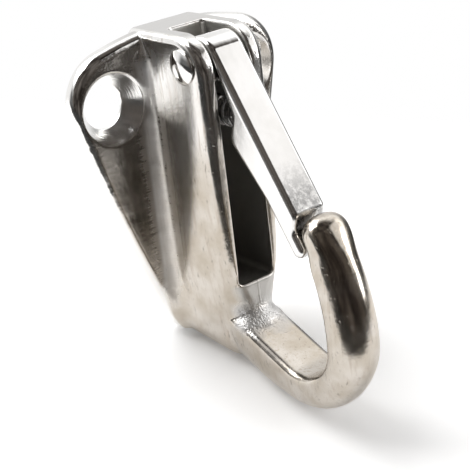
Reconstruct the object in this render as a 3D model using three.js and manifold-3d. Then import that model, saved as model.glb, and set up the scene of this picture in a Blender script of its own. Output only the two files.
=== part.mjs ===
// Wall-mounted fender hook with a sprung gate: an investment casting (back plate, channel and
// open hook in one piece), a gate on a riveted pin, and a small compression spring behind the gate.
// Millimetres, +Z up. The mounting face is the plane y = 0 and the hook reaches out along -Y.
// The origin is on the mounting face, midway between the two screw holes.

import * as THREE from 'three'
import { mergeVertices } from 'three/addons/utils/BufferGeometryUtils.js'
import Module from 'manifold-3d'

// ---- Driving dimensions ----

// Back plate
const PLATE_THICKNESS = 3.6
const PLATE_EDGE_ROUND = 1.6
const EAR_X = 11.7
const EAR_Z = 0.9
const EAR_RADIUS = 8
const PLATE_TOP_Z = 10.4
const FOOT_Z = -30.4
const FOOT_RADIUS = 9.4
const SIDE_ARC_RADIUS = 180

// Screw holes, countersunk for an M6 flat head
const SCREW_X = 12.9
const SCREW_BORE_RADIUS = 3.35
const COUNTERSINK_RADIUS = 5.5
const COUNTERSINK_DEPTH = 3.1

// Channel that carries the gate
const CHANNEL_HALF_WIDTH = 6.4
const CHANNEL_FRONT_Y = -16.8
const CHANNEL_EDGE_ROUND = 2.6
const CHANNEL_CROWN_RADIUS = 5.5
const CHANNEL_FOOT_Z = -42.2
const CHANNEL_FOOT_ROUND = 5
const CHANNEL_FOOT_SLOPE = THREE.MathUtils.degToRad(15)
const SLOT_HALF_WIDTH = 3.45
const SLOT_BACK_Y = -6.3
const SLOT_FLOOR_Z = -28.8

// Hook limb: its inner face runs down a ramp, round a tight bend, then up a slow arc to the nose
const RAMP_ANGLE = THREE.MathUtils.degToRad(23)
const BEND_CENTRE_Y = -29.1
const BEND_CENTRE_Z = -33.4
const BEND_RADIUS = 6.5
const RAMP_LENGTH = 17
const RISER_RADIUS = 28
const RISER_ANGLE = THREE.MathUtils.degToRad(31.6)
const NOSE_LENGTH = 3.2
const LIMB_HALF_WIDTH = 4.3
const NOSE_HALF_WIDTH = 3.7
const LIMB_ROOT_HALF_WIDTH = 6
const LIMB_FLARE_LENGTH = 8
const LIMB_ROOT_DEPTH = 8.4
const LIMB_TIP_DEPTH = 5.2
const LIMB_THINNING_LEAD = 6
const LIMB_CORNER = 0.9
const ROOT_FILLET_RADIUS = 3
const ROOT_FILLET_HALF_WIDTH = 3.6

// Pivot
const PIVOT_Y = -12.8
const PIVOT_Z = 6
const PIN_RADIUS = 1.5
const PIN_BORE_RADIUS = 1.6
const RIVET_HEAD_RADIUS = 2.65
const RIVET_HEAD_HEIGHT = 0.95
const RIVET_GAP = 0.05

// Gate, drawn in its own axes: s runs from the pivot down its length, h out of its front face
const GATE_LEAN = THREE.MathUtils.degToRad(33.3)
const GATE_HALF_WIDTH = 3.15
const GATE_EDGE_ROUND = 0.55
const GATE_FRONT_H = 3.75
const GATE_STEP_S = 27.7
const GATE_STEP_ROUND = 0.8
const GATE_LENGTH = 32.3
const TONGUE_FRONT_H = 1.6
const TONGUE_BACK_H = -0.8
const RECESS_START_S = 3.1
const RECESS_END_S = 9.8
const RECESS_END_H = 1
const SHOULDER_S = 12.4
const SHOULDER_H = -2.2
const TAPER_END_S = 22
const GATE_BORE_RADIUS = 1.62

// Compression spring between the slot's back wall and the recess in the gate
const SPRING_Z = -2
const SPRING_FRONT_Y = -17.9
const SPRING_COIL_RADIUS = 2
const SPRING_WIRE_RADIUS = 0.32
const SPRING_TURNS = 7.5
const SPRING_END_GAP = 0.05

// Facets: round features, and the stations and section of the hook limb
const ROUND_STEPS = 40
const RAMP_STEPS = 8
const BEND_STEPS = 14
const RISER_STEPS = 12
const NOSE_STEPS = 6
const SECTION_STEPS = 14
const CORNER_STEPS = 3

const wasm = await Module()
wasm.setup()

// ---- Helpers ----

function toSolid(geometry) {
  const bare = geometry.index ? geometry.toNonIndexed() : geometry.clone()
  bare.deleteAttribute('normal')
  bare.deleteAttribute('uv')
  const merged = mergeVertices(bare, 1e-4)
  const corners = merged.index.array
  const triangles = []
  for (let i = 0; i < corners.length; i += 3) {
    const [a, b, c] = corners.slice(i, i + 3)
    if (a !== b && b !== c && c !== a) triangles.push(a, b, c)
  }
  return new wasm.Manifold(new wasm.Mesh({
    numProp: 3,
    vertProperties: new Float32Array(merged.attributes.position.array),
    triVerts: new Uint32Array(triangles),
  }))
}

function toGeometry(solid) {
  const mesh = solid.getMesh()
  const geometry = new THREE.BufferGeometry()
  geometry.setAttribute('position', new THREE.BufferAttribute(mesh.vertProperties, 3))
  geometry.setIndex(new THREE.BufferAttribute(mesh.triVerts, 1))
  geometry.computeVertexNormals()
  return geometry
}

function boxSolid(xMin, xMax, yMin, yMax, zMin, zMax) {
  const box = new THREE.BoxGeometry(xMax - xMin, yMax - yMin, zMax - zMin)
  box.translate((xMin + xMax) / 2, (yMin + yMax) / 2, (zMin + zMax) / 2)
  return toSolid(box)
}

// Cylinder along X through (y, z)
function crossPin(radius, halfLength, y, z) {
  const cylinder = new THREE.CylinderGeometry(radius, radius, 2 * halfLength, ROUND_STEPS)
  cylinder.rotateZ(Math.PI / 2)
  cylinder.translate(0, y, z)
  return toSolid(cylinder)
}

// Polygon through a path's points, without the doubled points where a line meets an arc
function polygonOf(path, arcSteps) {
  const points = []
  for (const point of path.getPoints(arcSteps)) {
    if (points.length === 0 || point.distanceTo(points[points.length - 1]) > 1e-4) points.push(point)
  }
  if (points[0].distanceTo(points[points.length - 1]) < 1e-4) points.pop()
  return new THREE.Shape(points)
}

// Extrusion of a side profile, drawn as (y, z), across the width of the part
function acrossWidth(profile, halfWidth, edgeRound, roundSteps) {
  const geometry = new THREE.ExtrudeGeometry(profile, {
    depth: 2 * (halfWidth - edgeRound),
    bevelEnabled: edgeRound > 0,
    bevelThickness: edgeRound,
    bevelSize: edgeRound,
    bevelOffset: -edgeRound,
    bevelSegments: roundSteps,
  })
  geometry.translate(0, 0, edgeRound - halfWidth)
  const toPart = new THREE.Matrix4()
  toPart.makeBasis(new THREE.Vector3(0, 1, 0), new THREE.Vector3(0, 0, 1), new THREE.Vector3(1, 0, 0))
  return geometry.applyMatrix4(toPart)
}

// ---- Hook body ----

// Large arc that wraps two circles from outside and touches both: its centre, and the directions
// of the two touching points
function wrappingArc(from, to, radius) {
  const reachFrom = radius - from.radius
  const reachTo = radius - to.radius
  const span = new THREE.Vector2(to.x - from.x, to.z - from.z)
  const along = (span.lengthSq() + reachFrom ** 2 - reachTo ** 2) / (2 * span.length())
  const aside = Math.sqrt(reachFrom ** 2 - along ** 2)
  const unit = span.clone().normalize()
  const x = from.x + unit.x * along - unit.y * aside
  const z = from.z + unit.y * along + unit.x * aside
  return {
    x, z, radius,
    start: Math.atan2(from.z - z, from.x - x),
    end: Math.atan2(to.z - z, to.x - x),
  }
}

// Two ears and a foot wrapped by shallow arcs along the top and the two sides
function plateOutline() {
  const foot = { x: 0, z: FOOT_Z, radius: FOOT_RADIUS }
  const rightEar = { x: EAR_X, z: EAR_Z, radius: EAR_RADIUS }
  const leftEar = { x: -EAR_X, z: EAR_Z, radius: EAR_RADIUS }
  const side = wrappingArc(foot, rightEar, SIDE_ARC_RADIUS)
  const rise = PLATE_TOP_Z - EAR_Z
  const topRadius = (EAR_X ** 2 + rise ** 2 - EAR_RADIUS ** 2) / (2 * (rise - EAR_RADIUS))
  const top = wrappingArc(rightEar, leftEar, topRadius)
  const outline = new THREE.Path()
  outline.absarc(0, FOOT_Z, FOOT_RADIUS, -Math.PI - side.start, side.start, false)
  outline.absarc(side.x, side.z, side.radius, side.start, side.end, false)
  outline.absarc(EAR_X, EAR_Z, EAR_RADIUS, side.end, top.start, false)
  outline.absarc(top.x, top.z, top.radius, top.start, top.end, false)
  outline.absarc(-EAR_X, EAR_Z, EAR_RADIUS, top.end, Math.PI - side.end, false)
  outline.absarc(-side.x, side.z, side.radius, Math.PI - side.end, Math.PI - side.start, false)
  return outline
}

function plateSolid() {
  const geometry = new THREE.ExtrudeGeometry(polygonOf(plateOutline(), 9), {
    depth: PLATE_THICKNESS - 2 * PLATE_EDGE_ROUND,
    bevelThickness: PLATE_EDGE_ROUND,
    bevelSize: PLATE_EDGE_ROUND,
    bevelOffset: -PLATE_EDGE_ROUND,
    bevelSegments: 4,
  })
  geometry.rotateX(Math.PI / 2)
  geometry.translate(0, -PLATE_EDGE_ROUND, 0)
  return toSolid(geometry)
}

// Straight front between a rounded crown and a rounded foot, with the underside rising to the wall
function channelProfile() {
  const profile = new THREE.Path()
  const crown = CHANNEL_CROWN_RADIUS
  const foot = CHANNEL_FOOT_ROUND
  const footY = CHANNEL_FRONT_Y + foot
  const footZ = CHANNEL_FOOT_Z + foot
  const footEnd = 1.5 * Math.PI + CHANNEL_FOOT_SLOPE
  const behindWall = 4
  const endY = footY + foot * Math.cos(footEnd)
  const endZ = footZ + foot * Math.sin(footEnd)
  profile.moveTo(behindWall, endZ + (behindWall - endY) * Math.tan(CHANNEL_FOOT_SLOPE))
  profile.lineTo(behindWall, PLATE_TOP_Z)
  profile.lineTo(CHANNEL_FRONT_Y + crown, PLATE_TOP_Z)
  profile.absarc(CHANNEL_FRONT_Y + crown, PLATE_TOP_Z - crown, crown, Math.PI / 2, Math.PI, false)
  profile.lineTo(CHANNEL_FRONT_Y, footZ)
  profile.absarc(footY, footZ, foot, Math.PI, footEnd, false)
  return profile
}

// Stations along the limb: point on the inner face, outward direction, half width and depth
function limbStations() {
  const stations = []
  const bendStart = -Math.PI / 2 + RAMP_ANGLE
  const outwardAt = (angle) => new THREE.Vector2(Math.cos(angle), Math.sin(angle))
  const rampOut = outwardAt(bendStart)
  const rampAlong = new THREE.Vector2(rampOut.y, -rampOut.x)
  const bendCentre = new THREE.Vector2(BEND_CENTRE_Y, BEND_CENTRE_Z)
  const rampEnd = rampOut.clone().multiplyScalar(BEND_RADIUS).add(bendCentre)
  const bendAngle = Math.PI / 2 + RAMP_ANGLE
  const bendLength = BEND_RADIUS * bendAngle
  const thinStart = RAMP_LENGTH - LIMB_THINNING_LEAD
  const thinEnd = RAMP_LENGTH + 0.8 * bendLength
  const add = (point, outward, travelled, risen = 0, nose = 0) => {
    const flare = THREE.MathUtils.smoothstep(travelled, 0, LIMB_FLARE_LENGTH)
    const thin = THREE.MathUtils.smoothstep(travelled, thinStart, thinEnd)
    const rampHalfWidth = THREE.MathUtils.lerp(LIMB_ROOT_HALF_WIDTH, LIMB_HALF_WIDTH, flare)
    const halfWidth = THREE.MathUtils.lerp(rampHalfWidth, NOSE_HALF_WIDTH, risen)
    const depth = THREE.MathUtils.lerp(LIMB_ROOT_DEPTH, LIMB_TIP_DEPTH, thin)
    stations.push({ point, outward, halfWidth, depth, scale: (1 - nose ** 2.5) ** 0.4 })
  }
  for (let i = 0; i <= RAMP_STEPS; i++) {
    const travelled = RAMP_LENGTH * i / RAMP_STEPS
    add(rampAlong.clone().multiplyScalar(travelled - RAMP_LENGTH).add(rampEnd), rampOut, travelled)
  }
  for (let i = 1; i <= BEND_STEPS; i++) {
    const outward = outwardAt(bendStart - bendAngle * i / BEND_STEPS)
    const travelled = RAMP_LENGTH + bendLength * i / BEND_STEPS
    add(outward.clone().multiplyScalar(BEND_RADIUS).add(bendCentre), outward, travelled)
  }
  const riserCentre = new THREE.Vector2(BEND_CENTRE_Y - BEND_RADIUS + RISER_RADIUS, BEND_CENTRE_Z)
  for (let i = 1; i <= RISER_STEPS; i++) {
    const outward = outwardAt(Math.PI - RISER_ANGLE * i / RISER_STEPS)
    const point = outward.clone().multiplyScalar(RISER_RADIUS).add(riserCentre)
    add(point, outward, RAMP_LENGTH + bendLength, i / RISER_STEPS)
  }
  const last = stations[stations.length - 1]
  const tipAlong = new THREE.Vector2(last.outward.y, -last.outward.x)
  for (let i = 1; i <= NOSE_STEPS; i++) {
    const nose = Math.sin((Math.PI / 2) * i / (NOSE_STEPS + 0.2))
    const point = tipAlong.clone().multiplyScalar(NOSE_LENGTH * nose).add(last.point)
    add(point, last.outward, RAMP_LENGTH + bendLength, 1, nose)
  }
  return stations
}

// D section: flat inner face with rounded corners, half-elliptic outer face
function limbSection(station) {
  const { halfWidth, depth, scale } = station
  const section = []
  const flat = halfWidth - LIMB_CORNER
  for (let i = 0; i <= CORNER_STEPS; i++) {
    const angle = (Math.PI / 2) * i / CORNER_STEPS
    const across = flat + LIMB_CORNER * Math.sin(angle)
    section.push([across, LIMB_CORNER * (1 - Math.cos(angle))])
  }
  for (let i = 1; i < SECTION_STEPS; i++) {
    const angle = Math.PI * i / SECTION_STEPS
    section.push([halfWidth * Math.cos(angle), LIMB_CORNER + (depth - LIMB_CORNER) * Math.sin(angle)])
  }
  for (let i = CORNER_STEPS; i >= 0; i--) {
    const angle = (Math.PI / 2) * i / CORNER_STEPS
    const across = flat + LIMB_CORNER * Math.sin(angle)
    section.push([-across, LIMB_CORNER * (1 - Math.cos(angle))])
  }
  const middle = depth / 2
  return section.map(([across, out]) => [across * scale, middle + (out - middle) * scale])
}

function limbSolid() {
  const stations = limbStations()
  const positions = []
  const indices = []
  for (const station of stations) {
    for (const [across, out] of limbSection(station)) {
      const y = station.point.x + station.outward.x * out
      const z = station.point.y + station.outward.y * out
      positions.push(across, y, z)
    }
  }
  const ring = positions.length / 3 / stations.length
  for (let s = 0; s + 1 < stations.length; s++) {
    for (let i = 0; i < ring; i++) {
      const a = s * ring + i
      const b = s * ring + (i + 1) % ring
      indices.push(a, a + ring, b, b, a + ring, b + ring)
    }
  }
  const end = (stations.length - 1) * ring
  for (let i = 1; i + 1 < ring; i++) {
    indices.push(0, i, i + 1, end, end + i + 1, end + i)
  }
  const geometry = new THREE.BufferGeometry()
  geometry.setAttribute('position', new THREE.Float32BufferAttribute(positions, 3))
  geometry.setIndex(indices)
  return toSolid(geometry)
}

// Concave fillet where the ramp leaves the front of the channel
function rootFilletSolid() {
  const radius = ROOT_FILLET_RADIUS
  const rampEndY = BEND_CENTRE_Y + BEND_RADIUS * Math.sin(RAMP_ANGLE)
  const rampEndZ = BEND_CENTRE_Z - BEND_RADIUS * Math.cos(RAMP_ANGLE)
  const cornerZ = rampEndZ + (CHANNEL_FRONT_Y - rampEndY) * Math.tan(RAMP_ANGLE)
  const centreY = CHANNEL_FRONT_Y - radius
  const centreZ = cornerZ + radius * Math.tan((Math.PI / 2 - RAMP_ANGLE) / 2)
  const behindFace = CHANNEL_FRONT_Y + 1
  const profile = new THREE.Path()
  profile.absarc(centreY, centreZ, radius, 0, RAMP_ANGLE - Math.PI / 2, true)
  profile.lineTo(CHANNEL_FRONT_Y, cornerZ - 1)
  profile.lineTo(behindFace, cornerZ - 1)
  profile.lineTo(behindFace, centreZ)
  return toSolid(acrossWidth(polygonOf(profile, 8), ROOT_FILLET_HALF_WIDTH, 0, 0))
}

function countersunkHole(x) {
  const over = 1
  const flare = (COUNTERSINK_RADIUS - SCREW_BORE_RADIUS) / COUNTERSINK_DEPTH
  const profile = [
    new THREE.Vector2(0, -over),
    new THREE.Vector2(SCREW_BORE_RADIUS, -over),
    new THREE.Vector2(SCREW_BORE_RADIUS, PLATE_THICKNESS - COUNTERSINK_DEPTH),
    new THREE.Vector2(COUNTERSINK_RADIUS + flare * over, PLATE_THICKNESS + over),
    new THREE.Vector2(0, PLATE_THICKNESS + over),
  ]
  const cutter = new THREE.LatheGeometry(profile, ROUND_STEPS)
  cutter.rotateZ(Math.PI)
  cutter.translate(x, 0, 0)
  return toSolid(cutter)
}

function hookBodySolid() {
  const channelSide = polygonOf(channelProfile(), 8)
  const channel = toSolid(acrossWidth(channelSide, CHANNEL_HALF_WIDTH, CHANNEL_EDGE_ROUND, 4))
  const slot = boxSolid(-SLOT_HALF_WIDTH, SLOT_HALF_WIDTH, CHANNEL_FRONT_Y - 1, SLOT_BACK_Y,
    SLOT_FLOOR_Z, PLATE_TOP_Z + 1)
  const far = 100
  const wall = boxSolid(-far, far, 0, far, -far, far)
  return plateSolid()
    .add(channel)
    .add(limbSolid())
    .add(rootFilletSolid())
    .subtract(slot)
    .subtract(wall)
    .subtract(countersunkHole(-SCREW_X))
    .subtract(countersunkHole(SCREW_X))
    .subtract(crossPin(PIN_BORE_RADIUS, 2 * CHANNEL_HALF_WIDTH, PIVOT_Y, PIVOT_Z))
}

// ---- Gate ----

function gatePoint(s, h) {
  const y = PIVOT_Y - s * Math.sin(GATE_LEAN) - h * Math.cos(GATE_LEAN)
  const z = PIVOT_Z - s * Math.cos(GATE_LEAN) + h * Math.sin(GATE_LEAN)
  return new THREE.Vector2(y, z)
}

// Barrel round the pivot, a recess for the spring behind a thin web, then a shoulder and a tapered
// lever that ends in a thinner tongue, which closes behind the nose
function gateProfile() {
  const barrel = GATE_FRONT_H
  const barrelSweep = 2 * Math.PI - Math.asin(RECESS_START_S / barrel)
  const points = []
  for (let i = 0; i <= 24; i++) {
    const angle = barrelSweep * i / 24
    points.push(gatePoint(-barrel * Math.sin(angle), barrel * Math.cos(angle)))
  }
  points.push(gatePoint(RECESS_END_S, RECESS_END_H))
  points.push(gatePoint(SHOULDER_S, SHOULDER_H))
  points.push(gatePoint(TAPER_END_S, TONGUE_BACK_H))
  const tipRadius = (TONGUE_FRONT_H - TONGUE_BACK_H) / 2
  const tipH = TONGUE_BACK_H + tipRadius
  for (let i = 0; i <= 6; i++) {
    const angle = Math.PI * i / 6
    const s = GATE_LENGTH - tipRadius + tipRadius * Math.sin(angle)
    points.push(gatePoint(s, tipH - tipRadius * Math.cos(angle)))
  }
  points.push(gatePoint(GATE_STEP_S + GATE_STEP_ROUND, TONGUE_FRONT_H))
  points.push(gatePoint(GATE_STEP_S, TONGUE_FRONT_H + GATE_STEP_ROUND))
  points.push(gatePoint(GATE_STEP_S, GATE_FRONT_H - GATE_STEP_ROUND))
  points.push(gatePoint(GATE_STEP_S - GATE_STEP_ROUND, GATE_FRONT_H))
  return new THREE.Shape(points)
}

function gateSolid() {
  return toSolid(acrossWidth(gateProfile(), GATE_HALF_WIDTH, GATE_EDGE_ROUND, 3))
    .subtract(crossPin(GATE_BORE_RADIUS, 2 * GATE_HALF_WIDTH, PIVOT_Y, PIVOT_Z))
}

// ---- Pivot pin: shank with a domed rivet head at each end ----

function pinGeometry() {
  const face = CHANNEL_HALF_WIDTH + RIVET_GAP
  const domeRadius = (RIVET_HEAD_RADIUS ** 2 + RIVET_HEAD_HEIGHT ** 2) / (2 * RIVET_HEAD_HEIGHT)
  const domeAngle = Math.asin(RIVET_HEAD_RADIUS / domeRadius)
  const half = []
  half.push(new THREE.Vector2(PIN_RADIUS, face))
  for (let i = 0; i <= 6; i++) {
    const angle = domeAngle * (1 - i / 6)
    const height = domeRadius * Math.cos(angle) - (domeRadius - RIVET_HEAD_HEIGHT)
    half.push(new THREE.Vector2(domeRadius * Math.sin(angle), face + height))
  }
  const mirrored = half.map((p) => new THREE.Vector2(p.x, -p.y)).reverse()
  const pin = new THREE.LatheGeometry([...mirrored, ...half], ROUND_STEPS)
  pin.rotateZ(-Math.PI / 2)
  pin.translate(0, PIVOT_Y, PIVOT_Z)
  return pin
}

// ---- Gate spring: helix with closed ends ----

class SpringHelix extends THREE.Curve {
  getPoint(t) {
    const start = SLOT_BACK_Y - SPRING_END_GAP - SPRING_WIRE_RADIUS
    const end = SPRING_FRONT_Y + SPRING_WIRE_RADIUS
    const closed = 1 / SPRING_TURNS
    const wire = 2.1 * SPRING_WIRE_RADIUS
    const span = Math.abs(end - start)
    const middle = (t - closed) / (1 - 2 * closed)
    let along = wire + (span - 2 * wire) * middle
    if (t < closed) along = wire * t / closed
    if (t > 1 - closed) along = span - wire * (1 - t) / closed
    const angle = 2 * Math.PI * SPRING_TURNS * t
    const x = SPRING_COIL_RADIUS * Math.cos(angle)
    const z = SPRING_Z + SPRING_COIL_RADIUS * Math.sin(angle)
    return new THREE.Vector3(x, start - along, z)
  }
}

function springGeometry() {
  const section = new THREE.Shape()
  section.absarc(0, 0, SPRING_WIRE_RADIUS, 0, 2 * Math.PI, false)
  return new THREE.ExtrudeGeometry(section, {
    steps: Math.round(SPRING_TURNS * 18),
    curveSegments: 4,
    extrudePath: new SpringHelix(),
  })
}

// ---- Assembly ----

const castSteel = new THREE.MeshStandardMaterial({ color: 0xb9b5ae, metalness: 1, roughness: 0.3 })
const polishedSteel = new THREE.MeshStandardMaterial({ color: 0xd4d3d0, metalness: 1, roughness: 0.12 })
const springSteel = new THREE.MeshStandardMaterial({ color: 0xa9a9a8, metalness: 1, roughness: 0.25 })

function namedMesh(name, geometry, material) {
  const mesh = new THREE.Mesh(geometry, material)
  mesh.name = name
  return mesh
}

const group = new THREE.Group()
group.name = 'fender_hook'
group.add(namedMesh('hook_body', toGeometry(hookBodySolid()), castSteel))
group.add(namedMesh('gate', toGeometry(gateSolid()), polishedSteel))
group.add(namedMesh('pivot_pin', toGeometry(toSolid(pinGeometry())), polishedSteel))
group.add(namedMesh('gate_spring', toGeometry(toSolid(springGeometry())), springSteel))

export default group
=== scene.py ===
import math

import bpy
import numpy as np
from mathutils import Matrix, Vector


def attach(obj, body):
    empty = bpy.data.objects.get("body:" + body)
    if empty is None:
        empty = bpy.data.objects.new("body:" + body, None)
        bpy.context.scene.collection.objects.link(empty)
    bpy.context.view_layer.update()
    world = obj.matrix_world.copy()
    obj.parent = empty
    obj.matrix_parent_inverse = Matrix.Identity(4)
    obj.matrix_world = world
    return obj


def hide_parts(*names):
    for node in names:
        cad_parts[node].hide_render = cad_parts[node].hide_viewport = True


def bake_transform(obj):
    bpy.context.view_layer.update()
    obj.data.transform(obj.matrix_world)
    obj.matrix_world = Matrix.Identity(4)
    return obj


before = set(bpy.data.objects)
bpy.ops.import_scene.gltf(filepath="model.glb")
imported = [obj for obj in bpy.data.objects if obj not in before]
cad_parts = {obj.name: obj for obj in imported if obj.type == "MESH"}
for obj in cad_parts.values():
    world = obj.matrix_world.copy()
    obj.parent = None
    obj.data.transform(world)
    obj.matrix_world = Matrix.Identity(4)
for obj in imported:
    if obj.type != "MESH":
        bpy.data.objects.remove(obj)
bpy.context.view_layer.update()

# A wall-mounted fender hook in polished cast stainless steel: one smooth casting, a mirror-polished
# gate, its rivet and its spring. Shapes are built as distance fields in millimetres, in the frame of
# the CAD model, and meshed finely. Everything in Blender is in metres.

MM = 0.001

# ---- Driving dimensions, in millimetres ----

PLATE_THICKNESS = 3.6
PLATE_EDGE_ROUND = 1.6
EAR_X, EAR_Z, EAR_RADIUS = 11.7, 0.9, 8.0
PLATE_TOP_Z = 10.4
FOOT_Z, FOOT_RADIUS = -30.4, 9.4
SIDE_ARC_RADIUS = 180.0

SCREW_X = 12.9
SCREW_BORE_RADIUS = 3.35
COUNTERSINK_RADIUS = 5.5
COUNTERSINK_DEPTH = 3.1

CHANNEL_HALF_WIDTH = 6.4
CHANNEL_FRONT_Y = -16.8
CHANNEL_CROWN_RADIUS = 5.5
CHANNEL_FOOT_Z = -42.2
CHANNEL_FOOT_ROUND = 5.0
CHANNEL_FOOT_SLOPE = math.radians(15)
STRIP_ANGLE = math.radians(10)
CREASE_DEPTH, CREASE_RUN_BACK, CREASE_LENGTH = 2.8, 8.7, 39
STRIP_EDGE, FOOT_EDGE_EXTRA = 1.3, 3.2
SLOT_HALF_WIDTH = 3.45
SLOT_BACK_Y = -6.3
SLOT_FLOOR_Z = -28.8
SLOT_BACK_ROUND, SLOT_FLOOR_ROUND, SLOT_EDGE_ROUND = 0.8, 0.9, 0.4
SCREW_EDGE_ROUND = 0.25

RAMP_ANGLE = math.radians(23)
BEND_Y, BEND_Z, BEND_RADIUS = -29.1, -33.4, 6.5
RAMP_LENGTH = 17.0
RISER_RADIUS = 28.0
RISER_ANGLE = math.radians(31.6)
NOSE_LENGTH = 3.2
LIMB_HALF_WIDTH, LIMB_ROOT_HALF_WIDTH, NOSE_HALF_WIDTH = 4.3, 4.5, 3.7
LIMB_FLARE_LENGTH = 8.0
LIMB_ROOT_DEPTH, LIMB_TIP_DEPTH = 8.4, 5.2
LIMB_CORNER = 1.1
LIMB_OVAL_POWER = 2.3
BACK_EDGE_ROUND = 0.35
ROOT_FILLET = 3.0
CHEEK_FILLET, FOOT_FILLET, FLUSH_FILLET = 2.3, 3.2, 0.05

PIVOT_Y, PIVOT_Z = -12.8, 6.0
PIN_RADIUS, PIN_BORE_RADIUS = 1.5, 1.6
RIVET_HEAD_RADIUS, RIVET_HEAD_HEIGHT = 2.65, 0.95

GATE_LEAN = math.radians(33.3)
GATE_HALF_WIDTH = 3.15
GATE_FRONT_H = 3.75
GATE_EDGE_ROUND = 0.85
GATE_STEP_S, GATE_LENGTH = 27.7, 32.3
TONGUE_FRONT_H, TONGUE_BACK_H = 1.6, -0.8
SHOULDER_START_S, SHOULDER_END_S = 9.3, 12.8
RECESS_H, RECESS_SLOPE = 2.6, 0.164
TAPER_S, TAPER_H, TAPER_SLOPE = 12.4, -2.25, 0.146
GATE_BACK_ROUND, GATE_END_ROUND, GATE_BARREL_FILLET = 0.3, 1.15, 0.9

SPRING_Z = -2.0
SPRING_BACK_Y, SPRING_FRONT_Y = -6.35, -17.9
SPRING_COIL_RADIUS, SPRING_WIRE_RADIUS = 2.0, 0.32
SPRING_TURNS = 7.5

BODY_CELL = 0.25
GATE_CELL = 0.16


# ---- Fields: negative inside, positive outside, about one unit for each millimetre ----


def smoothstep(start, end, value):
    t = np.clip((value - start) / (end - start), 0, 1)
    return t * t * (3 - 2 * t)


def mix(a, b, t):
    return a + (b - a) * t


def round_and(a, b, radius):
    """What is in both, with the edge between them rounded."""
    a = a + radius
    b = b + radius
    return np.minimum(np.maximum(a, b), 0) + np.hypot(np.maximum(a, 0), np.maximum(b, 0)) - radius


def round_or(a, b, radius):
    """What is in either, with a fillet between them."""
    return -round_and(-a, -b, radius)


def soft_max(a, b, width):
    """Maximum of two nearly parallel fields, with the crease between them eased."""
    return np.maximum(a, b) + np.maximum(width - np.abs(a - b), 0) ** 2 / (4 * width)


def wrapping_arc(x0, z0, r0, x1, z1, r1, radius):
    """Centre of a large arc that wraps two circles from outside, and the angles where it touches."""
    span = math.hypot(x1 - x0, z1 - z0)
    along = (span**2 + (radius - r0) ** 2 - (radius - r1) ** 2) / (2 * span)
    aside = math.sqrt((radius - r0) ** 2 - along**2)
    ux, uz = (x1 - x0) / span, (z1 - z0) / span
    cx = x0 + ux * along - uz * aside
    cz = z0 + uz * along + ux * aside
    return cx, cz, math.atan2(z0 - cz, x0 - cx), math.atan2(z1 - cz, x1 - cx)


def plate_outline(x, z):
    """Right half of the outline, as arcs that run on into each other: foot, side, ear and top."""
    side_x, side_z, side_start, side_end = wrapping_arc(
        0, FOOT_Z, FOOT_RADIUS, EAR_X, EAR_Z, EAR_RADIUS, SIDE_ARC_RADIUS)
    rise = PLATE_TOP_Z - EAR_Z
    top_radius = (EAR_X**2 + rise**2 - EAR_RADIUS**2) / (2 * (rise - EAR_RADIUS))
    top_z = PLATE_TOP_Z - top_radius
    top_start = math.atan2(EAR_Z - top_z, EAR_X)
    arcs = [
        (0, FOOT_Z, FOOT_RADIUS, -math.pi / 2 - 0.1, side_start),
        (side_x, side_z, SIDE_ARC_RADIUS, side_start, side_end),
        (EAR_X, EAR_Z, EAR_RADIUS, side_end, top_start),
        (0, top_z, top_radius, top_start, math.pi / 2 + 0.1),
    ]
    field = np.full(np.broadcast(x, z).shape, -1000.0)
    for cx, cz, radius, start, end in arcs:
        angle = np.arctan2(z - cz, x - cx)
        distance = np.hypot(x - cx, z - cz) - radius
        inside_sector = (angle >= start - 1e-9) & (angle <= end + 1e-9)
        field = np.where(inside_sector, np.maximum(field, distance), field)
    return field


def plate_field(x, y, z):
    half = PLATE_THICKNESS / 2
    return round_and(plate_outline(x, z), np.abs(y + half) - half, PLATE_EDGE_ROUND)


def channel_field(x, y, z):
    """Slotted channel's block: flat cheeks, then a polished strip that turns in towards the front.
    The crease where the strip starts runs back as it goes down."""
    front = CHANNEL_FRONT_Y - y
    foot_y = CHANNEL_FRONT_Y + CHANNEL_FOOT_ROUND
    foot_z = CHANNEL_FOOT_Z + CHANNEL_FOOT_ROUND
    slope_sin, slope_cos = math.sin(CHANNEL_FOOT_SLOPE), math.cos(CHANNEL_FOOT_SLOPE)
    under = (y - foot_y) * slope_sin - (z - foot_z) * slope_cos - CHANNEL_FOOT_ROUND
    profile = round_and(front, z - PLATE_TOP_Z, CHANNEL_CROWN_RADIUS)
    profile = round_and(profile, under, CHANNEL_FOOT_ROUND)
    cheek = x - CHANNEL_HALF_WIDTH
    down = np.clip((PIVOT_Z - z) / CREASE_LENGTH, 0, 1.1)
    crease_y = CHANNEL_FRONT_Y + CREASE_DEPTH + CREASE_RUN_BACK * down**2.5
    strip = cheek * math.cos(STRIP_ANGLE) - (y - crease_y) * math.sin(STRIP_ANGLE)
    side = soft_max(cheek, strip, 0.3)
    edge = STRIP_EDGE + FOOT_EDGE_EXTRA * smoothstep(-24, -36, z)
    return round_and(side, profile, edge)


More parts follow.
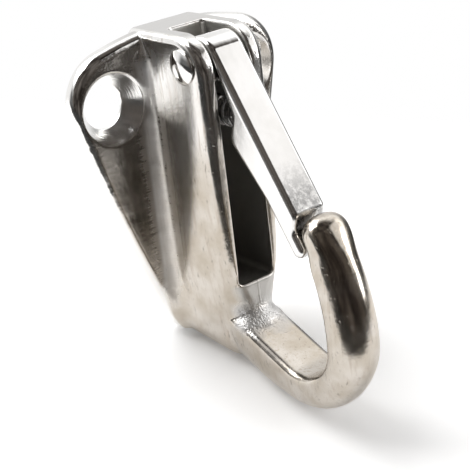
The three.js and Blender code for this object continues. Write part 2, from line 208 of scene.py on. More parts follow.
def limb_path(y, z):
    """Place of a point along the limb's inner line: distance out of it, and travelled along it,
    from 0 at the root, with the ramp, the bend, the riser and the nose."""
    bend_length = BEND_RADIUS * (math.pi / 2 + RAMP_ANGLE)
    out_y, out_z = math.sin(RAMP_ANGLE), -math.cos(RAMP_ANGLE)
    ry = y - (BEND_Y + BEND_RADIUS * out_y)
    rz = z - (BEND_Z + BEND_RADIUS * out_z)
    ramp_out = ry * out_y + rz * out_z
    ramp_along = ry * out_z - rz * out_y
    bend_out = np.hypot(y - BEND_Y, z - BEND_Z) - BEND_RADIUS
    bend_turn = np.arctan2(z - BEND_Z, y - BEND_Y) - math.atan2(out_z, out_y)
    bend_along = BEND_RADIUS * np.clip(-bend_turn, 0, math.pi / 2 + RAMP_ANGLE)
    riser_y = BEND_Y - BEND_RADIUS + RISER_RADIUS
    turn = np.arctan2(z - BEND_Z, riser_y - y)
    riser_out = np.hypot(y - riser_y, z - BEND_Z) - RISER_RADIUS
    end_y = riser_y - RISER_RADIUS * math.cos(RISER_ANGLE)
    end_z = BEND_Z + RISER_RADIUS * math.sin(RISER_ANGLE)
    nose_out = -(y - end_y) * math.cos(RISER_ANGLE) + (z - end_z) * math.sin(RISER_ANGLE)
    nose_along = (y - end_y) * math.sin(RISER_ANGLE) + (z - end_z) * math.cos(RISER_ANGLE)
    on_riser = (z >= BEND_Z) & (y < BEND_Y + 5)
    on_nose = on_riser & (nose_along > 0)
    on_ramp = ~on_riser & (ramp_along < 0)
    out = np.where(on_ramp, ramp_out, bend_out)
    out = np.where(on_riser, riser_out, out)
    out = np.where(on_nose, nose_out, out)
    travelled = RAMP_LENGTH + np.where(on_ramp, ramp_along, bend_along)
    risen = np.where(on_riser, np.clip(turn / RISER_ANGLE, 0, 1), 0)
    travelled = np.where(on_riser, RAMP_LENGTH + bend_length, travelled)
    return out, travelled, risen, np.where(on_nose, nose_along, 0)


def limb_field(x, y, z):
    """Hook limb: flat inside with rounded corners, half-elliptic outside, ending in a blunt nose."""
    bend_length = BEND_RADIUS * (math.pi / 2 + RAMP_ANGLE)
    out, travelled, risen, past_end = limb_path(y, z)
    flare = smoothstep(0, LIMB_FLARE_LENGTH, travelled)
    thin = smoothstep(RAMP_LENGTH - 6, RAMP_LENGTH + 0.8 * bend_length, travelled)
    width = mix(mix(LIMB_ROOT_HALF_WIDTH, LIMB_HALF_WIDTH, flare), NOSE_HALF_WIDTH, risen)
    depth = mix(LIMB_ROOT_DEPTH, LIMB_TIP_DEPTH, thin)
    height = depth - LIMB_CORNER
    above = np.maximum(out - LIMB_CORNER, 0)
    gauge = np.maximum(np.hypot(x / width, above / height), 1e-6)
    slope = np.hypot(x / width**2, above / height**2) / gauge
    section = round_and((gauge - 1) / slope, -out, LIMB_CORNER)
    middle = depth / 2
    power = LIMB_OVAL_POWER
    oval = ((x / width) ** power + (np.abs(out - middle) / middle) ** power) ** (1 / power)
    dome = (oval**power + (past_end / NOSE_LENGTH) ** power) ** (1 / power)
    return mix(section, (dome - 1) * middle, smoothstep(0.7, 1.0, risen))


def screw_hole_field(x, y, z):
    radius = np.hypot(x - SCREW_X, z)
    slope = math.atan2(COUNTERSINK_RADIUS - SCREW_BORE_RADIUS, COUNTERSINK_DEPTH)
    depth = -y - (PLATE_THICKNESS - COUNTERSINK_DEPTH)
    cone = (radius - SCREW_BORE_RADIUS) * math.cos(slope) - depth * math.sin(slope)
    hole = np.minimum(radius - SCREW_BORE_RADIUS, cone)
    return np.maximum(hole, -y - PLATE_THICKNESS - 0.8)


def slot_field(x, y, z):
    walls = round_and(x - SLOT_HALF_WIDTH, y - SLOT_BACK_Y, SLOT_BACK_ROUND)
    walls = round_and(walls, SLOT_FLOOR_Z - z, SLOT_FLOOR_ROUND)
    return np.maximum(walls, CHANNEL_FRONT_Y - 3 - y)


def body_field(x, y, z):
    """The whole casting. It is the same on both sides, so x is folded. Fillets fade out where two
    shapes are flush, at the top and the foot, because they would swell there."""
    x = np.abs(x)
    fillet = mix(CHEEK_FILLET, FOOT_FILLET, smoothstep(-26, -36, z))
    flush_top = smoothstep(6.0, 9.6, z)
    flush_foot = smoothstep(-36, -38.5, z) * smoothstep(6.0, 3.5, x)
    fillet = mix(fillet, FLUSH_FILLET, np.maximum(flush_top, flush_foot))
    channel = round_and(channel_field(x, y, z), y, BACK_EDGE_ROUND)
    body = round_or(plate_field(x, y, z), channel, fillet)
    root = mix(1.0, ROOT_FILLET, smoothstep(-38, -35, z))
    root = mix(FLUSH_FILLET, root, smoothstep(-14.5, -17.5, y))
    body = round_or(body, limb_field(x, y, z), root)
    body = round_and(body, -slot_field(x, y, z), SLOT_EDGE_ROUND)
    body = round_and(body, -screw_hole_field(x, y, z), SCREW_EDGE_ROUND)
    bore = np.hypot(y - PIVOT_Y, z - PIVOT_Z) - PIN_BORE_RADIUS
    return np.maximum(np.maximum(body, -bore), y)


def gate_field(x, s, h):
    """Gate in its own axes: s runs from the pivot down its length, h out of its front face."""
    recess = RECESS_H - RECESS_SLOPE * s
    taper = np.minimum(TAPER_H + TAPER_SLOPE * (s - TAPER_S), TONGUE_BACK_H)
    back = mix(recess, taper, smoothstep(SHOULDER_START_S, SHOULDER_END_S, s))
    stepped = smoothstep(GATE_STEP_S - 1.5, GATE_STEP_S + 1.4, s)
    front = mix(GATE_FRONT_H, TONGUE_FRONT_H, stepped)
    lever = round_and((h - front) * 0.85, -s, 0.01)
    lever = round_and(lever, (back - h) * 0.9, GATE_BACK_ROUND)
    lever = round_and(lever, s - GATE_LENGTH, GATE_END_ROUND)
    barrel = np.hypot(s, h) - GATE_FRONT_H
    fillet = GATE_BARREL_FILLET * smoothstep(3.3, 2.5, h) + 0.001
    profile = round_or(barrel, lever, fillet)
    gate = round_and(profile, np.abs(x) - GATE_HALF_WIDTH, GATE_EDGE_ROUND)
    return np.maximum(gate, PIN_BORE_RADIUS - np.hypot(s, h))


# ---- Meshing: surface nets on a grid, then every vertex is moved onto the surface ----


def gradient(field, points, step=0.02):
    parts = []
    for axis in range(3):
        ahead, behind = points.copy(), points.copy()
        ahead[:, axis] += step
        behind[:, axis] -= step
        parts.append((field(*ahead.T) - field(*behind.T)) / (2 * step))
    return np.stack(parts, axis=1)


def onto_surface(field, points, reach):
    start = points.copy()
    for _ in range(4):
        slope = gradient(field, points)
        length = np.maximum((slope**2).sum(axis=1, keepdims=True), 0.05)
        points = points - slope * field(*points.T)[:, None] / length
        moved = points - start
        far = np.maximum(np.abs(moved).max(axis=1, keepdims=True) / reach, 1)
        points = start + moved / far
    return points


def surface_nets(field, low, high, cell):
    """Closed quad mesh of field = 0 inside the box from low to high."""
    counts = np.ceil((np.array(high) - np.array(low)) / cell).astype(int) + 1
    x, y, z = (low[a] + cell * np.arange(counts[a]) for a in range(3))
    values = field(x[:, None, None], y[None, :, None], z[None, None, :])
    inside = values < 0
    corners = [(i, j, k) for i in (0, 1) for j in (0, 1) for k in (0, 1)]
    cells = counts - 1
    full = np.zeros(cells, dtype=np.int8)
    for i, j, k in corners:
        full += inside[i:i + cells[0], j:j + cells[1], k:k + cells[2]]
    active = np.argwhere((full > 0) & (full < 8))
    at_corner = {c: values[tuple((active + c).T)] for c in corners}
    total = np.zeros((len(active), 3))
    crossings = np.zeros(len(active))
    for a in corners:
        for axis in range(3):
            if a[axis] == 1:
                continue
            b = tuple(1 if n == axis else a[n] for n in range(3))
            crosses = (at_corner[a] < 0) != (at_corner[b] < 0)
            gap = np.where(crosses, at_corner[a] - at_corner[b], 1)
            point = np.tile(np.array(a, float), (len(active), 1))
            point[:, axis] = at_corner[a] / gap
            total += np.where(crosses[:, None], point, 0)
            crossings += crosses
    points = np.array(low) + cell * (active + total / crossings[:, None])
    number = np.full(cells, -1, dtype=np.int64)
    number[tuple(active.T)] = np.arange(len(active))
    quads = []
    for axis in range(3):
        along = [slice(None)] * 3
        along[axis] = slice(0, -1)
        ahead = [slice(None)] * 3
        ahead[axis] = slice(1, None)
        edges = np.argwhere(inside[tuple(along)] != inside[tuple(ahead)])
        leaving = inside[tuple(edges.T)]
        u, v = np.eye(3, dtype=int)[(axis + 1) % 3], np.eye(3, dtype=int)[(axis + 2) % 3]
        ring = [number[tuple((edges - shift).T)] for shift in (u + v, v, 0 * u, u)]
        quad = np.stack(ring, axis=1)
        quad[~leaving] = quad[~leaving][:, ::-1]
        quads.append(quad)
    return onto_surface(field, points, cell), np.concatenate(quads)


def mesh_object(name, points, faces):
    """Smooth-shaded object from points in millimetres."""
    mesh = bpy.data.meshes.new(name)
    if isinstance(faces, np.ndarray):
        faces = faces.tolist()
    mesh.from_pydata((np.asarray(points) * MM).tolist(), [], faces)
    mesh.update()
    mesh.shade_smooth()
    piece = bpy.data.objects.new(name, mesh)
    bpy.context.scene.collection.objects.link(piece)
    return piece


# ---- Pieces ----


def make_body():
    low = (-20.3, -41.4, -47.3)
    high = (20.3, 0.6, 11.0)
    points, quads = surface_nets(body_field, low, high, BODY_CELL)
    return mesh_object("cast_body", points, quads)


def make_gate():
    low = (-GATE_HALF_WIDTH - 0.5, -GATE_FRONT_H - 0.5, -GATE_FRONT_H - 0.5)
    high = (GATE_HALF_WIDTH + 0.5, GATE_LENGTH + 0.5, GATE_FRONT_H + 0.5)
    points, quads = surface_nets(gate_field, low, high, GATE_CELL)
    x, s, h = points.T
    y = PIVOT_Y - s * math.sin(GATE_LEAN) - h * math.cos(GATE_LEAN)
    z = PIVOT_Z - s * math.cos(GATE_LEAN) + h * math.sin(GATE_LEAN)
    return mesh_object("gate_lever", np.stack([x, y, z], axis=1), quads[:, ::-1])


def make_pin():
    """Rivet: shank and two domed heads, turned about X."""
    face = CHANNEL_HALF_WIDTH
    dome = (RIVET_HEAD_RADIUS**2 + RIVET_HEAD_HEIGHT**2) / (2 * RIVET_HEAD_HEIGHT)
    widest = math.asin(RIVET_HEAD_RADIUS / dome)
    half = [(face + 0.02, PIN_RADIUS), (face + 0.02, RIVET_HEAD_RADIUS - 0.12)]
    half += [(face + 0.06, RIVET_HEAD_RADIUS - 0.03)]
    for i in range(14):
        angle = widest * (1 - i / 14)
        height = dome * math.cos(angle) - (dome - RIVET_HEAD_HEIGHT)
        half.append((face + 0.12 + height * 0.9, dome * math.sin(angle)))
    profile = [(-x, r) for x, r in reversed(half)] + half
    steps = 72
    points, faces = [], []
    for x, radius in profile:
        for i in range(steps):
            angle = 2 * math.pi * i / steps
            points.append((x, PIVOT_Y + radius * math.cos(angle), PIVOT_Z + radius * math.sin(angle)))
    for row in range(len(profile) - 1):
        for i in range(steps):
            a, b = row * steps + i, row * steps + (i + 1) % steps
            faces.append((a, b, b + steps, a + steps))
    for end, order in ((0, -1), (len(profile) - 1, 1)):
        tip = len(points)
        sign = 1 if end else -1
        points.append((sign * (face + 0.12 + RIVET_HEAD_HEIGHT * 0.9), PIVOT_Y, PIVOT_Z))
        for i in range(steps):
            a, b = end * steps + i, end * steps + (i + 1) % steps
            faces.append((a, b, tip)[::order])
    return mesh_object("rivet_pin", points, faces)


def make_spring():
    """Compression spring along Y with a closed coil at each end."""
    start = SPRING_BACK_Y - SPRING_WIRE_RADIUS
    span = abs(SPRING_FRONT_Y - SPRING_BACK_Y) - 2 * SPRING_WIRE_RADIUS
    wire = 2.1 * SPRING_WIRE_RADIUS
    closed = 1 / SPRING_TURNS
    turn_steps, section_steps = 40, 14
    count = round(SPRING_TURNS * turn_steps)
    t = np.arange(count + 1) / count
    along = wire + (span - 2 * wire) * (t - closed) / (1 - 2 * closed)
    along = np.where(t < closed, wire * t / closed, along)
    along = np.where(t > 1 - closed, span - wire * (1 - t) / closed, along)
    angle = 2 * math.pi * SPRING_TURNS * t
    line = np.stack([SPRING_COIL_RADIUS * np.cos(angle), start - along,
                     SPRING_Z + SPRING_COIL_RADIUS * np.sin(angle)], axis=1)
    outward = np.stack([np.cos(angle), 0 * angle, np.sin(angle)], axis=1)
    tangent = np.gradient(line, axis=0)
    tangent /= np.linalg.norm(tangent, axis=1, keepdims=True)
    outward -= tangent * (outward * tangent).sum(axis=1, keepdims=True)
    outward /= np.linalg.norm(outward, axis=1, keepdims=True)
    aside = np.cross(tangent, outward)
    points, faces = [], []
    for i in range(count + 1):
        for k in range(section_steps):
            turn = 2 * math.pi * k / section_steps
            reach = outward[i] * math.cos(turn) + aside[i] * math.sin(turn)
            points.append(line[i] + SPRING_WIRE_RADIUS * reach)
    for i in range(count):
        for k in range(section_steps):
            a, b = i * section_steps + k, i * section_steps + (k + 1) % section_steps
            faces.append((a, b, b + section_steps, a + section_steps))
    first = tuple(range(section_steps))[::-1]
    last = tuple(count * section_steps + k for k in range(section_steps))
    return mesh_object("spring_coil", points, faces + [first, last])


# ---- Materials ----


class Nodes:
    """Short way to build a node tree."""

    def __init__(self, material):
        self.tree = material.node_tree
        self.shader = self.tree.nodes["Principled BSDF"]
        coordinates = self.add("ShaderNodeTexCoord")
        self.place = coordinates.outputs["Object"]
        self.frame_normal = coordinates.outputs["Normal"]

    def add(self, kind, **settings):
        node = self.tree.nodes.new(kind)
        for name, value in settings.items():
            setattr(node, name, value)
        return node

    def link(self, source, target):
        self.tree.links.new(source, target)

    def noise(self, scale, detail=3.0, roughness=0.55, stretch=None):
        """Noise with its features about 1 / scale metres apart, stretched along an axis if asked."""
        node = self.add("ShaderNodeTexNoise")
        node.inputs["Scale"].default_value = scale
        node.inputs["Detail"].default_value = detail
        node.inputs["Roughness"].default_value = roughness
        place = self.place
        if stretch:
            mapping = self.add("ShaderNodeMapping")
            mapping.inputs["Scale"].default_value = stretch
            self.link(place, mapping.inputs["Vector"])
            place = mapping.outputs["Vector"]
        self.link(place, node.inputs["Vector"])
        return node.outputs["Fac"]

    def ramp(self, value, low, high, from_low=0.0, from_high=1.0):
        node = self.add("ShaderNodeMapRange", clamp=True)
        node.inputs["From Min"].default_value = from_low
        node.inputs["From Max"].default_value = from_high
        node.inputs["To Min"].default_value = low
        node.inputs["To Max"].default_value = high
        self.link(value, node.inputs["Value"])
        return node.outputs["Result"]

    def math(self, operation, a, b):
        node = self.add("ShaderNodeMath", operation=operation)
        for socket, value in zip(node.inputs, (a, b)):
            if isinstance(value, (int, float)):
                socket.default_value = value
            else:
                self.link(value, socket)
        return node.outputs["Value"]

    def blend(self, factor, first, second):
        """Mix of two colours, each given as numbers or as a socket."""
        node = self.add("ShaderNodeMix", data_type="RGBA")
        self.link(factor, node.inputs["Factor"])
        for socket, colour in ((node.inputs[6], first), (node.inputs[7], second)):
            if isinstance(colour, tuple):
                socket.default_value = (*colour, 1)
            else:
                self.link(colour, socket)
        return node.outputs[2]

    def towards(self, mask, value, target):
        """The value where the mask is 0, and the target where it is 1."""
        node = self.add("ShaderNodeMix", data_type="FLOAT")
        for socket, source in zip(node.inputs[:1] + node.inputs[2:4], (mask, value, target)):
            if isinstance(source, (int, float)):
                socket.default_value = source
            else:
                self.link(source, socket)
        return node.outputs[0]

    def coordinates(self):
        """Distance from the middle plane, y and z of the point, in millimetres."""
        split = self.add("ShaderNodeSeparateXYZ")
        self.link(self.place, split.inputs[0])
        x, y, z = (self.math("DIVIDE", split.outputs[a], MM) for a in ("X", "Y", "Z"))
        return self.math("ABSOLUTE", x, 0), y, z

    def band(self, value, low, high, soft):
        """1 between low and high, falling to 0 over the soft edges."""
        rise = self.ramp(value, 0, 1, low - soft, low + soft)
        fall = self.ramp(value, 1, 0, high - soft, high + soft)
        return self.math("MULTIPLY", rise, fall)

    def every(self, *masks):
        result = masks[0]
        for mask in masks[1:]:
            result = self.math("MULTIPLY", result, mask)
        return result

    def bump(self, height, distance, normal=None):
        node = self.add("ShaderNodeBump")
        node.inputs["Distance"].default_value = distance
        node.inputs["Strength"].default_value = 1.0
        self.link(height, node.inputs["Height"])
        if normal is not None:
            self.link(normal, node.inputs["Normal"])
        return node.outputs["Normal"]


def metal(name):
    material = bpy.data.materials.new(name)
    material.use_nodes = True
    nodes = Nodes(material)
    nodes.shader.inputs["Metallic"].default_value = 1.0
    return material, nodes


def cast_regions(nodes):
    """Masks for the stretches of the casting that are finished differently or carry painted
    highlights and painted dark reflections, by place in millimetres and by which way the surface
    faces."""
    x, y, z = nodes.coordinates()
    wobble = nodes.ramp(nodes.noise(500, detail=1), -0.4, 0.4, 0.3, 0.7)
    slot = nodes.every(nodes.band(x, -1, SLOT_HALF_WIDTH + 0.12, 0.1),
                       nodes.band(y, CHANNEL_FRONT_Y + 0.5, SLOT_BACK_Y + 0.3, 0.35),
                       nodes.band(z, SLOT_FLOOR_Z - 0.3, PLATE_TOP_Z - 0.5, 0.3))
    ragged_z = nodes.math("ADD", z, wobble)
    sand = nodes.every(nodes.band(x, -1, 5.0, 0.4), nodes.band(y, -21.5, -15.0, 0.6),
                       nodes.band(ragged_z, -36.0, -32.4, 1.0))
    seam = nodes.every(nodes.band(x, -1, 0.16, 0.08), nodes.band(y, -19.5, -16.0, 0.5),
                       nodes.band(z, -32.6, SLOT_FLOOR_Z, 0.4))
    wall = nodes.every(nodes.band(x, -1, 4.8, 0.4), nodes.band(y, -19.5, -16.0, 0.5),
                       nodes.band(z, -33.0, SLOT_FLOOR_Z, 0.3))
    ledge = nodes.every(nodes.band(x, -1, 3.7, 0.3), nodes.band(y, -31, -19, 1.0),
                        nodes.band(z, -42, -33, 1.0))
    hairs = nodes.noise(4600, detail=3, roughness=0.6, stretch=(0.1, 0.1, 1))
    hairy = nodes.ramp(hairs, -1.8, 1.8)
    # Flange roots: brushed across, and painted lighter as a highlight, with a hairy edge.
    root = nodes.every(nodes.band(nodes.math("ADD", x, hairy), CHANNEL_HALF_WIDTH + 0.7, 8.1, 1.9),
                       nodes.band(y, -6.0, -3, 1.0), nodes.band(z, -33, 7, 3))
    facing = nodes.add("ShaderNodeSeparateXYZ")
    nodes.link(nodes.frame_normal, facing.inputs[0])
    sideways = nodes.ramp(nodes.math("ABSOLUTE", facing.outputs["X"], 0), 0, 1, 0.987, 0.995)
    cheek = nodes.every(sideways, nodes.band(y, -15, -2, 0.8), nodes.band(z, -36, 8.5, 1))
    forward = nodes.ramp(facing.outputs["Y"], 1, 0, -0.985, -0.93)
    # Forward-facing flange face: flat for the bumps, and darkened in colour as a painted dark
    # reflection.
    flange = nodes.every(forward, nodes.band(y, -PLATE_THICKNESS - 1.2, -1, 0.3))
    flat = nodes.math("MAXIMUM", cheek, flange)
    back = nodes.every(nodes.ramp(facing.outputs["Y"], 0, 1, 0.9, 0.99),
                       nodes.band(y, -0.3, 1, 0.1))
    rim = nodes.every(nodes.math("SUBTRACT", 1, forward), nodes.math("SUBTRACT", 1, back),
                      nodes.band(y, -PLATE_THICKNESS, 1, 0.25))
    plate = nodes.band(y, -9, 1, 1)
    top = nodes.every(nodes.ramp(facing.outputs["Z"], 0, 1, 0.93, 0.99),
                      nodes.ramp(z, 0, 1, 9, 9.8))
    upper = nodes.ramp(z, 0, 1, -14, 5)
    # Painted dark reflection: the near edges of the ramp are darkened in colour.
    painted_reflection_edge = nodes.every(nodes.band(x, 3.35, 5.2, 0.25), nodes.band(y, -30, -18, 1.0),
                         nodes.band(z, -40, -32, 1.5),
                         nodes.ramp(nodes.math("ABSOLUTE", facing.outputs["X"], 0), 1, 0, 0.75, 0.95))
    turned = nodes.math("SUBTRACT", x, SCREW_X)
    radius = nodes.math("SQRT", nodes.math("ADD", nodes.math("MULTIPLY", turned, turned),
                                           nodes.math("MULTIPLY", z, z)), 0)
    sink = nodes.every(nodes.band(radius, -1, COUNTERSINK_RADIUS + 0.05, 0.12),
                       nodes.band(y, -3.55, -0.1, 0.1))
    return {"slot": slot, "sand": sand, "wall": wall, "ledge": ledge, "root": root, "sink": sink,
            "radius": radius, "flat": flat, "flange": flange, "cheek": cheek, "rim": rim,
            "upper": upper, "seam": seam, "back": back,
            "plate": plate, "painted_reflection_edge": painted_reflection_edge, "top": top}


def cast_steel():
    """Tumble-polished casting, satin with fine pits, streaks and uneven polish, darker towards the
    bottom. The slot is left as cast and dark, the fillet under it is sandy, the flange roots are
    brushed across and painted lighter as a highlight, the countersinks are turned, and the mounting
    face is ground across. The forward face of the flange and the near edges of the ramp are painted
    darker as dark reflections."""
    material, nodes = metal("cast_stainless")
    region = cast_regions(nodes)
    cloud = nodes.ramp(nodes.noise(230, detail=4), 0, 1, 0.35, 0.65)
    streak = nodes.noise(1500, detail=3, stretch=(1, 1, 0.12))
    grain = nodes.noise(2900, detail=1)
    hairs = nodes.noise(2800, detail=3, stretch=(0.12, 0.12, 1))

    # The steel is darker towards the bottom and lighter towards the top.
    lower_steel = nodes.blend(cloud, (0.44, 0.39, 0.325), (0.57, 0.53, 0.48))
    bright = nodes.blend(cloud, (0.72, 0.705, 0.68), (0.8, 0.79, 0.775))
    steel = nodes.blend(region["upper"], lower_steel, bright)
    stain = nodes.math("MULTIPLY", nodes.ramp(streak, 0, 0.6, 0.53, 0.68), nodes.ramp(cloud, 0.25, 1))
    steel = nodes.blend(stain, steel, (0.40, 0.335, 0.27))
    specks = nodes.noise(1700, detail=4, roughness=0.72, stretch=(1, 1, 0.3))
    specks = nodes.ramp(specks, 0, 0.75, 0.6, 0.7)
    steel = nodes.blend(specks, steel, (0.21, 0.175, 0.14))
    # Painted dark reflection: the forward-facing flange face is darkened in colour.
    steel = nodes.blend(nodes.math("MULTIPLY", region["flange"], 0.65), steel, (0.4, 0.375, 0.345))
    steel = nodes.blend(region["rim"], steel, (0.82, 0.81, 0.79))
    ground = nodes.noise(1500, detail=4, roughness=0.7, stretch=(0.04, 1, 1))
    scored = nodes.ramp(ground, 0, 1, 0.35, 0.65)
    ground_steel = nodes.blend(scored, (0.3, 0.29, 0.275), (0.46, 0.45, 0.43))
    steel = nodes.blend(region["back"], steel, ground_steel)
    # Painted highlight: the flange roots are lightened in colour.
    steel = nodes.blend(nodes.math("MULTIPLY", region["root"], 0.9), steel, (0.92, 0.9, 0.87))
    # Painted dark reflection along the ramp's near edges.
    steel = nodes.blend(region["painted_reflection_edge"], steel, (0.09, 0.083, 0.075))
    steel = nodes.blend(region["top"], steel, (0.54, 0.53, 0.515))
    steel = nodes.blend(region["wall"], steel, (0.5, 0.485, 0.46))
    steel = nodes.blend(region["sand"], steel, (0.6, 0.59, 0.58))
    steel = nodes.blend(region["slot"], steel, (0.34, 0.33, 0.31))
    nodes.link(steel, nodes.shader.inputs["Base Color"])

    rough = nodes.math("ADD", nodes.ramp(cloud, 0.13, 0.19), nodes.ramp(streak, 0, 0.05, 0.4, 0.7))
    rough = nodes.towards(region["rim"], rough, 0.1)
    rough = nodes.towards(region["back"], rough, 0.38)
    rough = nodes.towards(region["cheek"], rough, 0.27)
    rough = nodes.towards(region["top"], rough, 0.3)
    rough = nodes.towards(region["root"], rough, 0.7)
    rough = nodes.towards(region["ledge"], rough, 0.26)
    rough = nodes.towards(region["wall"], rough, 0.36)
    rough = nodes.towards(region["sand"], rough, 0.46)
    rough = nodes.towards(region["slot"], rough, 0.55)
    rough = nodes.towards(region["sink"], rough, 0.2)
    nodes.link(rough, nodes.shader.inputs["Roughness"])

    smooth = nodes.towards(region["sink"], 1.0, 0.0)
    waves = nodes.math("MULTIPLY", nodes.noise(300, detail=2), smooth)
    normal = nodes.bump(waves, 0.00007)
    streaky = nodes.math("MULTIPLY", smooth, nodes.math("SUBTRACT", 1, region["flat"]))
    normal = nodes.bump(nodes.math("MULTIPLY", streak, streaky), 0.000014, normal=normal)
    brushed = nodes.towards(region["root"], nodes.towards(region["flat"], 0.15, 0.5), 1.3)
    brushed = nodes.math("MULTIPLY", hairs, brushed)
    brushed = nodes.towards(region["back"], brushed, nodes.math("MULTIPLY", ground, 0.5))
    normal = nodes.bump(nodes.math("MULTIPLY", brushed, smooth), 0.00003, normal=normal)
    hammered = nodes.math("MULTIPLY", region["flat"], region["upper"])
    sandy = nodes.towards(region["sand"], nodes.towards(hammered, 0.03, 0.2), 1.0)
    sandy = nodes.math("MULTIPLY", grain, sandy)
    normal = nodes.bump(sandy, 0.00016, normal=normal)
    rings = nodes.add("ShaderNodeTexNoise", noise_dimensions="1D")
    rings.inputs["Scale"].default_value = 6.0
    nodes.link(region["radius"], rings.inputs["W"])
    turning = nodes.math("MULTIPLY", rings.outputs["Fac"], region["sink"])
    normal = nodes.bump(turning, 0.000014, normal=normal)
    pits = nodes.ramp(nodes.noise(1900, detail=1), 0, 1, 0.26, 0.31)
    for plain in ("sink", "wall", "flat", "root", "plate"):
        pits = nodes.math("MAXIMUM", pits, region[plain])
    normal = nodes.bump(pits, 0.000012, normal=normal)
    nodes.link(nodes.bump(region["seam"], 0.00003, normal=normal), nodes.shader.inputs["Normal"])
    return material


def mirror_steel():
    """Machine-polished gate: close to a mirror, with faint polishing waves and hairlines, and a
    duller, grainier patch low on its front that is painted darker as a dark reflection.
    """
    material, nodes = metal("polished_stainless")
    cloud = nodes.noise(180, detail=3)
    polished = nodes.blend(nodes.ramp(cloud, 0, 1, 0.35, 0.65), (0.74, 0.73, 0.71), (0.82, 0.81, 0.8))
    x, _, z = nodes.coordinates()
    side = nodes.band(x, GATE_HALF_WIDTH - 0.25, GATE_HALF_WIDTH + 1, 0.2)
    # A duller, grainier patch low on the gate's front. Its colour is also painted darker as a dark
    # reflection.
    dull_patch_and_painted_reflection = nodes.every(nodes.band(x, -1, 2.6, 0.4), nodes.band(z, -19.5, -10, 2.5),
                          nodes.ramp(nodes.noise(1300, detail=4, roughness=0.65), 0.35, 1, 0.4, 0.56))
    rough = nodes.towards(side, nodes.ramp(cloud, 0.06, 0.11), 0.22)
    nodes.link(nodes.towards(dull_patch_and_painted_reflection, rough, 0.3), nodes.shader.inputs["Roughness"])
    # Painted dark reflection over the dull patch.
    polished = nodes.blend(nodes.math("MULTIPLY", dull_patch_and_painted_reflection, 0.9), polished, (0.25, 0.247, 0.243))
    nodes.link(polished, nodes.shader.inputs["Base Color"])
    waves = nodes.bump(nodes.noise(300, detail=2), 0.00003)
    grain = nodes.math("MULTIPLY", nodes.noise(3200, detail=2), nodes.towards(dull_patch_and_painted_reflection, 0.06, 1.0))
    waves = nodes.bump(grain, 0.000012, normal=waves)
    hairs = nodes.noise(1500, detail=2, stretch=(1, 0.12, 0.12))
    nodes.link(nodes.bump(hairs, 0.000006, normal=waves), nodes.shader.inputs["Normal"])
    return material


def spring_steel():
    """Drawn wire: bright along the wire, with fine die marks."""
    material, nodes = metal("spring_stainless")
    cloud = nodes.noise(700, detail=2)
    drawn = nodes.blend(cloud, (0.2, 0.195, 0.19), (0.34, 0.33, 0.32))
    nodes.link(drawn, nodes.shader.inputs["Base Color"])
    nodes.link(nodes.ramp(cloud, 0.18, 0.32), nodes.shader.inputs["Roughness"])
    nodes.link(nodes.bump(nodes.noise(3000, detail=1), 0.000008), nodes.shader.inputs["Normal"])
    return material


def finish_piece(piece, material, node):
    piece.data.materials.append(material)
    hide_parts(node)


# ---- Studio ----

VIEW_DIRECTION = Vector((-0.5646, -0.7394, 0.3666))
CAMERA_TARGET = Vector((0.557, -11.6, -22.765)) * MM
CAMERA_DISTANCE = 206.0 * MM
CAMERA_ROLL = math.radians(-6.801)
CAMERA_LENS = 101.34
LIGHT_TARGET = Vector((0, -15, -20)) * MM
PAPER_HALF_WIDTH, PAPER_FRONT = 0.9, -0.105
PAPER_FADE, PAPER_SIDE_FADE = (0.015, 0.06), (0.14, 0.4)


def make_camera():
    """Camera at the front left, above the hook, rolled a little."""
    back = VIEW_DIRECTION.normalized()
    right = Vector((0, 0, 1)).cross(back).normalized()
    up = back.cross(right)
    across = math.cos(CAMERA_ROLL) * right + math.sin(CAMERA_ROLL) * up
    upward = -math.sin(CAMERA_ROLL) * right + math.cos(CAMERA_ROLL) * up
    data = bpy.data.cameras.new("camera")
    data.sensor_width = 36
    data.lens = CAMERA_LENS
    data.clip_start = 0.01
    camera = bpy.data.objects.new("camera", data)
    bpy.context.scene.collection.objects.link(camera)
    turn = Matrix((across, upward, back)).transposed().to_4x4()
    camera.matrix_world = Matrix.Translation(CAMERA_TARGET + back * CAMERA_DISTANCE) @ turn
    bpy.context.scene.camera = camera


def floor_lean(points):
    """Slope of the floor that the plate's foot and the bottom of the hook both rest on, with the
    height of that floor along its own upward direction."""
    foot = points[points[:, 1] > -8 * MM]
    hook = points[points[:, 1] < -20 * MM]
    low, high = 0.0, math.radians(40)
    for _ in range(30):
        lean = (low + high) / 2
        up = np.array((0, -math.sin(lean), math.cos(lean)))
        if (foot @ up).min() > (hook @ up).min():
            low = lean
        else:
            high = lean
    return lean, (points @ up).min()


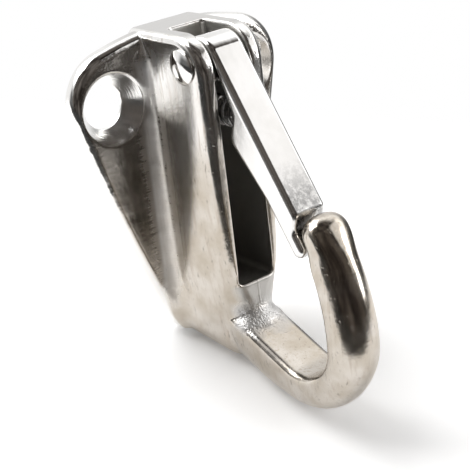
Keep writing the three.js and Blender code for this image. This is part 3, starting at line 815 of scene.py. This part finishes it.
def make_floor(body):
    """Sheet of thin white paper under the hook. It leans with the hook and would rise behind it, so
    it fades into the white backdrop there and far to the sides."""
    points = np.empty(len(body.data.vertices) * 3)
    body.data.vertices.foreach_get("co", points)
    lean, height = floor_lean(points.reshape(-1, 3))
    width, front, back = PAPER_HALF_WIDTH, PAPER_FRONT, PAPER_FADE[1]
    mesh = bpy.data.meshes.new("floor")
    corners = [(-width, front, 0), (width, front, 0), (width, back, 0), (-width, back, 0)]
    mesh.from_pydata(corners, [], [(0, 1, 2, 3)])
    floor = bpy.data.objects.new("floor", mesh)
    bpy.context.scene.collection.objects.link(floor)
    up = Vector((0, -math.sin(lean), math.cos(lean)))
    turn = math.atan2(-VIEW_DIRECTION.y, -VIEW_DIRECTION.x) - math.pi / 2
    lie = Matrix.Rotation(lean, 4, "X") @ Matrix.Rotation(turn, 4, "Z")
    floor.matrix_world = Matrix.Translation(up * height) @ lie
    material = bpy.data.materials.new("paper")
    material.use_nodes = True
    nodes = Nodes(material)
    paper = nodes.blend(nodes.noise(40, detail=2), (0.91, 0.91, 0.91), (0.93, 0.93, 0.93))
    nodes.link(paper, nodes.shader.inputs["Base Color"])
    nodes.shader.inputs["Roughness"].default_value = 0.9
    place = nodes.add("ShaderNodeSeparateXYZ")
    nodes.link(nodes.place, place.inputs[0])
    aside = nodes.math("ABSOLUTE", place.outputs["X"], 0)
    present = nodes.every(nodes.ramp(place.outputs["Y"], 1, 0, *PAPER_FADE),
                          nodes.ramp(aside, 1, 0, *PAPER_SIDE_FADE))
    through = nodes.add("ShaderNodeBsdfTranslucent")
    through.inputs["Color"].default_value = (0.4, 0.4, 0.4, 1)
    paper_light = nodes.add("ShaderNodeAddShader")
    nodes.link(nodes.shader.outputs["BSDF"], paper_light.inputs[0])
    nodes.link(through.outputs["BSDF"], paper_light.inputs[1])
    sheet = nodes.add("ShaderNodeMixShader")
    nodes.link(present, sheet.inputs["Fac"])
    nodes.link(nodes.add("ShaderNodeBsdfTransparent").outputs["BSDF"], sheet.inputs[1])
    nodes.link(paper_light.outputs["Shader"], sheet.inputs[2])
    nodes.link(sheet.outputs["Shader"], nodes.tree.nodes["Material Output"].inputs["Surface"])
    floor.data.materials.append(material)
    return up


def area_light(name, direction, distance, size, power):
    """Square or oblong softbox in that direction from the hook, facing it."""
    data = bpy.data.lights.new(name, "AREA")
    data.shape = "RECTANGLE"
    data.size, data.size_y = size
    data.energy = power
    light = bpy.data.objects.new(name, data)
    bpy.context.scene.collection.objects.link(light)
    away = Vector(direction).normalized()
    light.location = LIGHT_TARGET + away * distance
    light.rotation_euler = away.to_track_quat("Z", "Y").to_euler()


def make_world(up):
    """Room that is pale above and behind and dark in front. The steel reflects it, and the camera
    sees a plain white backdrop in its place."""
    world = bpy.data.worlds.new("studio")
    bpy.context.scene.world = world
    world.use_nodes = True
    tree = world.node_tree
    background = tree.nodes["Background"]
    place = tree.nodes.new("ShaderNodeTexCoord").outputs["Generated"]

    def towards(direction, start, end):
        dot = tree.nodes.new("ShaderNodeVectorMath")
        dot.operation = "DOT_PRODUCT"
        dot.inputs[1].default_value = Vector(direction).normalized()
        tree.links.new(place, dot.inputs[0])
        rise = tree.nodes.new("ShaderNodeMapRange")
        rise.interpolation_type = "SMOOTHSTEP"
        rise.inputs["From Min"].default_value = start
        rise.inputs["From Max"].default_value = end
        tree.links.new(dot.outputs["Value"], rise.inputs["Value"])
        return rise.outputs["Result"]

    def mixed(factor, a, b):
        node = tree.nodes.new("ShaderNodeMix")
        node.data_type = "RGBA"
        tree.links.new(factor, node.inputs["Factor"])
        for socket, colour in ((6, a), (7, b)):
            if isinstance(colour, tuple):
                node.inputs[socket].default_value = (*colour, 1)
            else:
                tree.links.new(colour, node.inputs[socket])
        return node.outputs[2]

    side, above, behind, dark = (0.16,) * 3, (1.6,) * 3, (1.05,) * 3, (0.05,) * 3
    room = mixed(towards(up, 0.15, 0.6), side, above)
    clutter = tree.nodes.new("ShaderNodeTexNoise")
    clutter.inputs["Scale"].default_value = 2.6
    clutter.inputs["Detail"].default_value = 3
    tree.links.new(place, clutter.inputs["Vector"])
    spread = tree.nodes.new("ShaderNodeMapRange")
    spread.inputs["From Min"].default_value = 0.4
    spread.inputs["From Max"].default_value = 0.66
    tree.links.new(clutter.outputs["Fac"], spread.inputs["Value"])
    shade = mixed(spread.outputs["Result"], (0.018, 0.014, 0.012), (0.16, 0.143, 0.13))
    room = mixed(towards((-0.3, -0.9, 0.5), 0.22, 0.5), room, shade)
    room = mixed(towards(-up, -0.02, 0.08), room, dark)
    room = mixed(towards((0.1, 0.95, 0.1), 0.3, 0.7), room, behind)
    seen = tree.nodes.new("ShaderNodeLightPath").outputs["Is Camera Ray"]
    tree.links.new(mixed(seen, room, (1.0, 1.0, 1.0)), background.inputs["Color"])


def make_lights():
    area_light("window", (0.72, -0.58, 0.45), 0.55, (0.42, 0.34), 0.5)
    area_light("overhead", (-0.35, 0.45, 0.95), 0.7, (0.6, 0.6), 6.6)
    area_light("side_strip", (0.76, -0.64, 0.14), 0.4, (0.1, 0.2), 0.32)


# ---- Assembly ----

body = make_body()
gate = make_gate()
pin = make_pin()
spring = make_spring()

cast = cast_steel()
mirror = mirror_steel()
finish_piece(body, cast, "hook_body")
finish_piece(gate, mirror, "gate")
finish_piece(pin, mirror, "pivot_pin")
finish_piece(spring, spring_steel(), "gate_spring")

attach(body, "hook")
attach(pin, "hook")
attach(gate, "gate")
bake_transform(spring)

make_camera()
floor_up = make_floor(body)
make_world(floor_up)
make_lights()
bpy.context.scene.view_settings.view_transform = "Standard"
